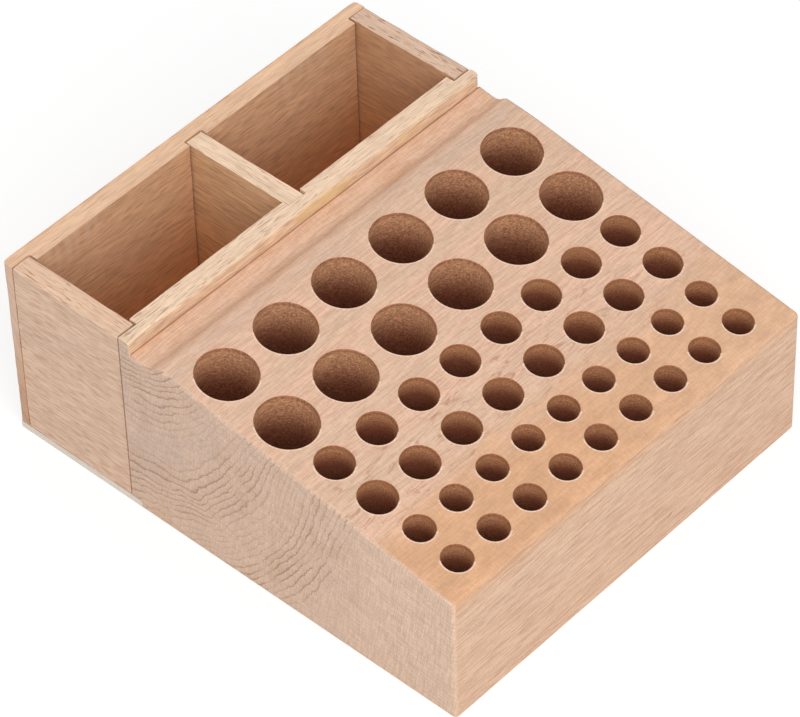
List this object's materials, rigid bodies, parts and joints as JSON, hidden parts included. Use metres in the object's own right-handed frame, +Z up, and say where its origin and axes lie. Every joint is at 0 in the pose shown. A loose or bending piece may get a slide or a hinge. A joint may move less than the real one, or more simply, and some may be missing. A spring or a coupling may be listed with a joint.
{
  "type": "tool storage caddy",
  "caption": "Beech tool caddy: a sloping drilled block that holds hand tools upright, with an open divided box behind it for small parts.",
  "frame": {"origin": "under the middle of the caddy's bounding box, on the surface that it stands on", "axes": "+Z up, +Y from the drilled block's low front to the box at the back, +X along the rows of holes to the right"},
  "size_m": [0.1284, 0.1486, 0.058],
  "materials": {
    "block_beech": "raw sanded beech",
    "board_beech": "raw planed beech",
    "end_board_beech": "raw planed beech",
    "divider_beech": "raw planed beech",
    "panel_board": "pale raw thin board"
  },
  "bodies": {
    "caddy": {"tool_block": "block_beech", "front_board": "board_beech", "back_board": "board_beech", "left_end_board": "end_board_beech", "right_end_board": "end_board_beech", "bottom_panel": "panel_board"},
    "divider": {"divider_board": "divider_beech"}
  },
  "joints": [
    {"name": "divider_lift", "type": "slide", "parent": "caddy", "child": "divider", "axis": [0, 0, 1], "range_m": [0, 0.057]}
  ]
}
